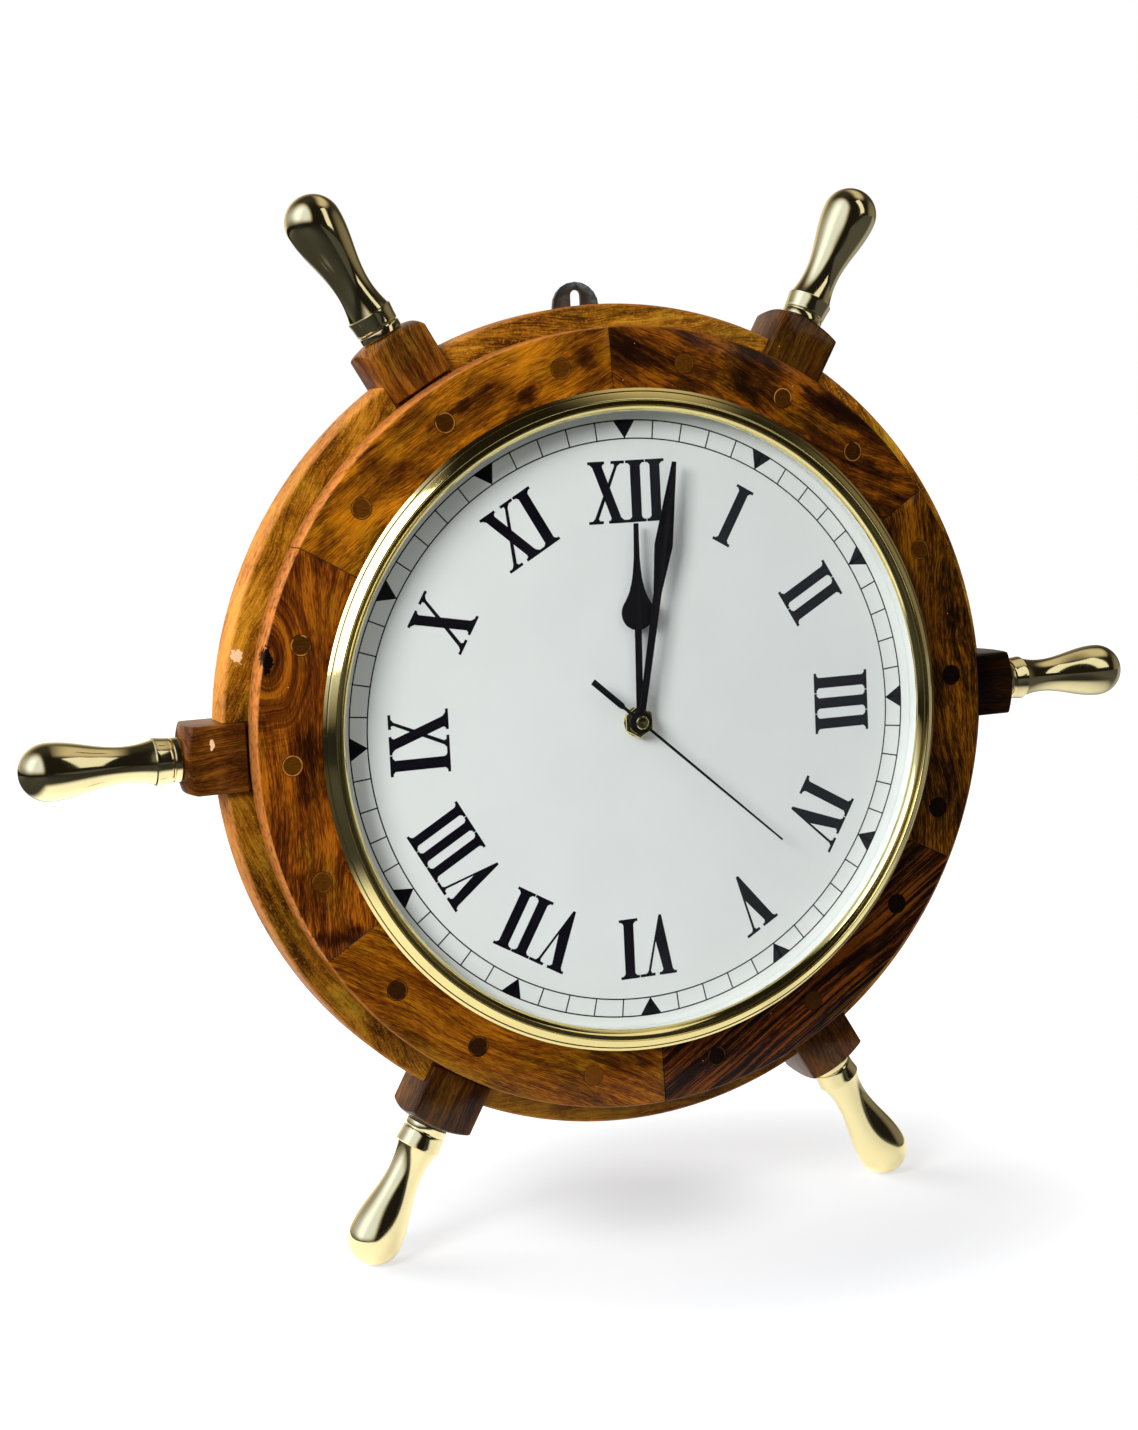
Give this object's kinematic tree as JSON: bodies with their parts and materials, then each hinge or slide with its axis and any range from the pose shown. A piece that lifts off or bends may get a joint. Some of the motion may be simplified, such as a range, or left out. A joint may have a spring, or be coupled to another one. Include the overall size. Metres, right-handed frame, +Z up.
{
  "type": "ship wheel clock",
  "caption": "Round wall clock framed as a wooden ship's wheel, with turned brass spoke handles, a brass bezel, flat glass and a white dial with Roman numerals and black hands.",
  "frame": {"origin": "centre of the bounding box, which is on the axis of the hands", "axes": "+X to the right of the dial as it is read, +Y from the dial back to the wall, +Z up to twelve o'clock"},
  "size_m": [0.4572, 0.042, 0.3988],
  "materials": {
    "front_rim_wood": "oiled, satin, warm orange-brown with dark streaks",
    "rear_rim_wood": "oiled, golden brown, speckled pores",
    "block_wood": "oiled, dark red-brown",
    "polished_brass": "polished, pale yellow",
    "steel": "plain",
    "black_steel": "dark, dull",
    "black_paint": "satin black",
    "dial_white": "printed, cool white",
    "fibreboard": "raw, brown",
    "glass": "clear, flat",
    "black_plastic": "moulded, fine texture",
    "nylon": "moulded, off-white",
    "copper_wire": "enamelled copper winding",
    "circuit_green": "solder mask",
    "cell_wrap": null
  },
  "bodies": {
    "clock": {"front_rim_segment_1": "front_rim_wood", "front_rim_segment_2": "front_rim_wood", "front_rim_segment_3": "front_rim_wood", "front_rim_segment_4": "front_rim_wood", "front_rim_segment_5": "front_rim_wood", "front_rim_segment_6": "front_rim_wood", "rear_rim_segment_1": "rear_rim_wood", "rear_rim_segment_2": "rear_rim_wood", "rear_rim_segment_3": "rear_rim_wood", "rear_rim_segment_4": "rear_rim_wood", "rear_rim_segment_5": "rear_rim_wood", "rear_rim_segment_6": "rear_rim_wood", "spoke_block_1": "block_wood", "spoke_block_2": "block_wood", "spoke_block_3": "block_wood", "spoke_block_4": "block_wood", "spoke_block_5": "block_wood", "spoke_block_6": "block_wood", "handle_1": "polished_brass", "handle_2": "polished_brass", "handle_3": "polished_brass", "handle_4": "polished_brass", "handle_5": "polished_brass", "handle_6": "polished_brass", "bezel": "polished_brass", "threaded_bushing": "polished_brass", "fixing_nut": "polished_brass", "fixing_washer": "polished_brass", "middle_plate": "polished_brass", "board_screw_1": "steel", "board_screw_2": "steel", "board_screw_3": "steel", "board_screw_4": "steel", "hanger_screw_1": "steel", "hanger_screw_2": "steel", "stator": "steel", "quartz_crystal": "steel", "battery_contact_positive": "steel", "battery_contact_negative": "steel", "hanger_plate": "black_steel", "dial": "dial_white", "dial_spacer_ring": "dial_white", "backing_board": "fibreboard", "glass": "glass", "movement_case": "black_plastic", "movement_cover": "black_plastic", "coil": "copper_wire", "circuit_board": "circuit_green"},
    "hour_hand_set": {"hour_wheel": "nylon", "hour_hand": "black_paint"},
    "minute_hand_set": {"minute_wheel": "nylon", "minute_hand": "black_paint"},
    "second_hand_set": {"second_wheel": "nylon", "second_hand": "black_paint", "second_hand_cap": "polished_brass"},
    "third_wheel_set": {"third_wheel": "nylon"},
    "intermediate_wheel_set": {"intermediate_wheel": "nylon"},
    "rotor_set": {"rotor": "steel"},
    "setting_wheel_set": {"setting_wheel": "nylon"},
    "cell": {"battery": "cell_wrap"}
  },
  "joints": [
    {"name": "minute_turn", "type": "hinge", "parent": "clock", "child": "minute_hand_set", "pos_m": [0, -0.0075, 0], "axis": [0, 1, 0], "continuous": true},
    {"name": "hour_turn", "type": "hinge", "parent": "clock", "child": "hour_hand_set", "pos_m": [0, -0.0075, 0], "axis": [0, 1, 0], "continuous": true},
    {"name": "second_turn", "type": "hinge", "parent": "clock", "child": "second_hand_set", "pos_m": [0, -0.0075, 0], "axis": [0, 1, 0], "continuous": true},
    {"name": "third_turn", "type": "hinge", "parent": "clock", "child": "third_wheel_set", "pos_m": [-0.00743, 0.0085, 0.00743], "axis": [0, 1, 0], "continuous": true},
    {"name": "intermediate_turn", "type": "hinge", "parent": "clock", "child": "intermediate_wheel_set", "pos_m": [0.0042, 0.0085, 0.00728], "axis": [0, 1, 0], "continuous": true},
    {"name": "rotor_turn", "type": "hinge", "parent": "clock", "child": "rotor_set", "pos_m": [0.01097, 0.0085, 0.00974], "axis": [0, 1, 0], "continuous": true},
    {"name": "setting_turn", "type": "hinge", "parent": "clock", "child": "setting_wheel_set", "pos_m": [0.00918, 0.0085, -0.00642], "axis": [0, 1, 0], "continuous": true},
    {"name": "cell_slide", "type": "slide", "parent": "clock", "child": "cell", "axis": [0, 1, 0], "range_m": [0, 0.02]}
  ],
  "couplings": [
    {"joint": "hour_turn", "follows": "minute_turn", "ratio": 0.083333},
    {"joint": "second_turn", "follows": "minute_turn", "ratio": 60},
    {"joint": "third_turn", "follows": "minute_turn", "ratio": -8},
    {"joint": "setting_turn", "follows": "minute_turn", "ratio": -0.33333},
    {"joint": "intermediate_turn", "follows": "minute_turn", "ratio": -360},
    {"joint": "rotor_turn", "follows": "minute_turn", "ratio": 1800}
  ]
}
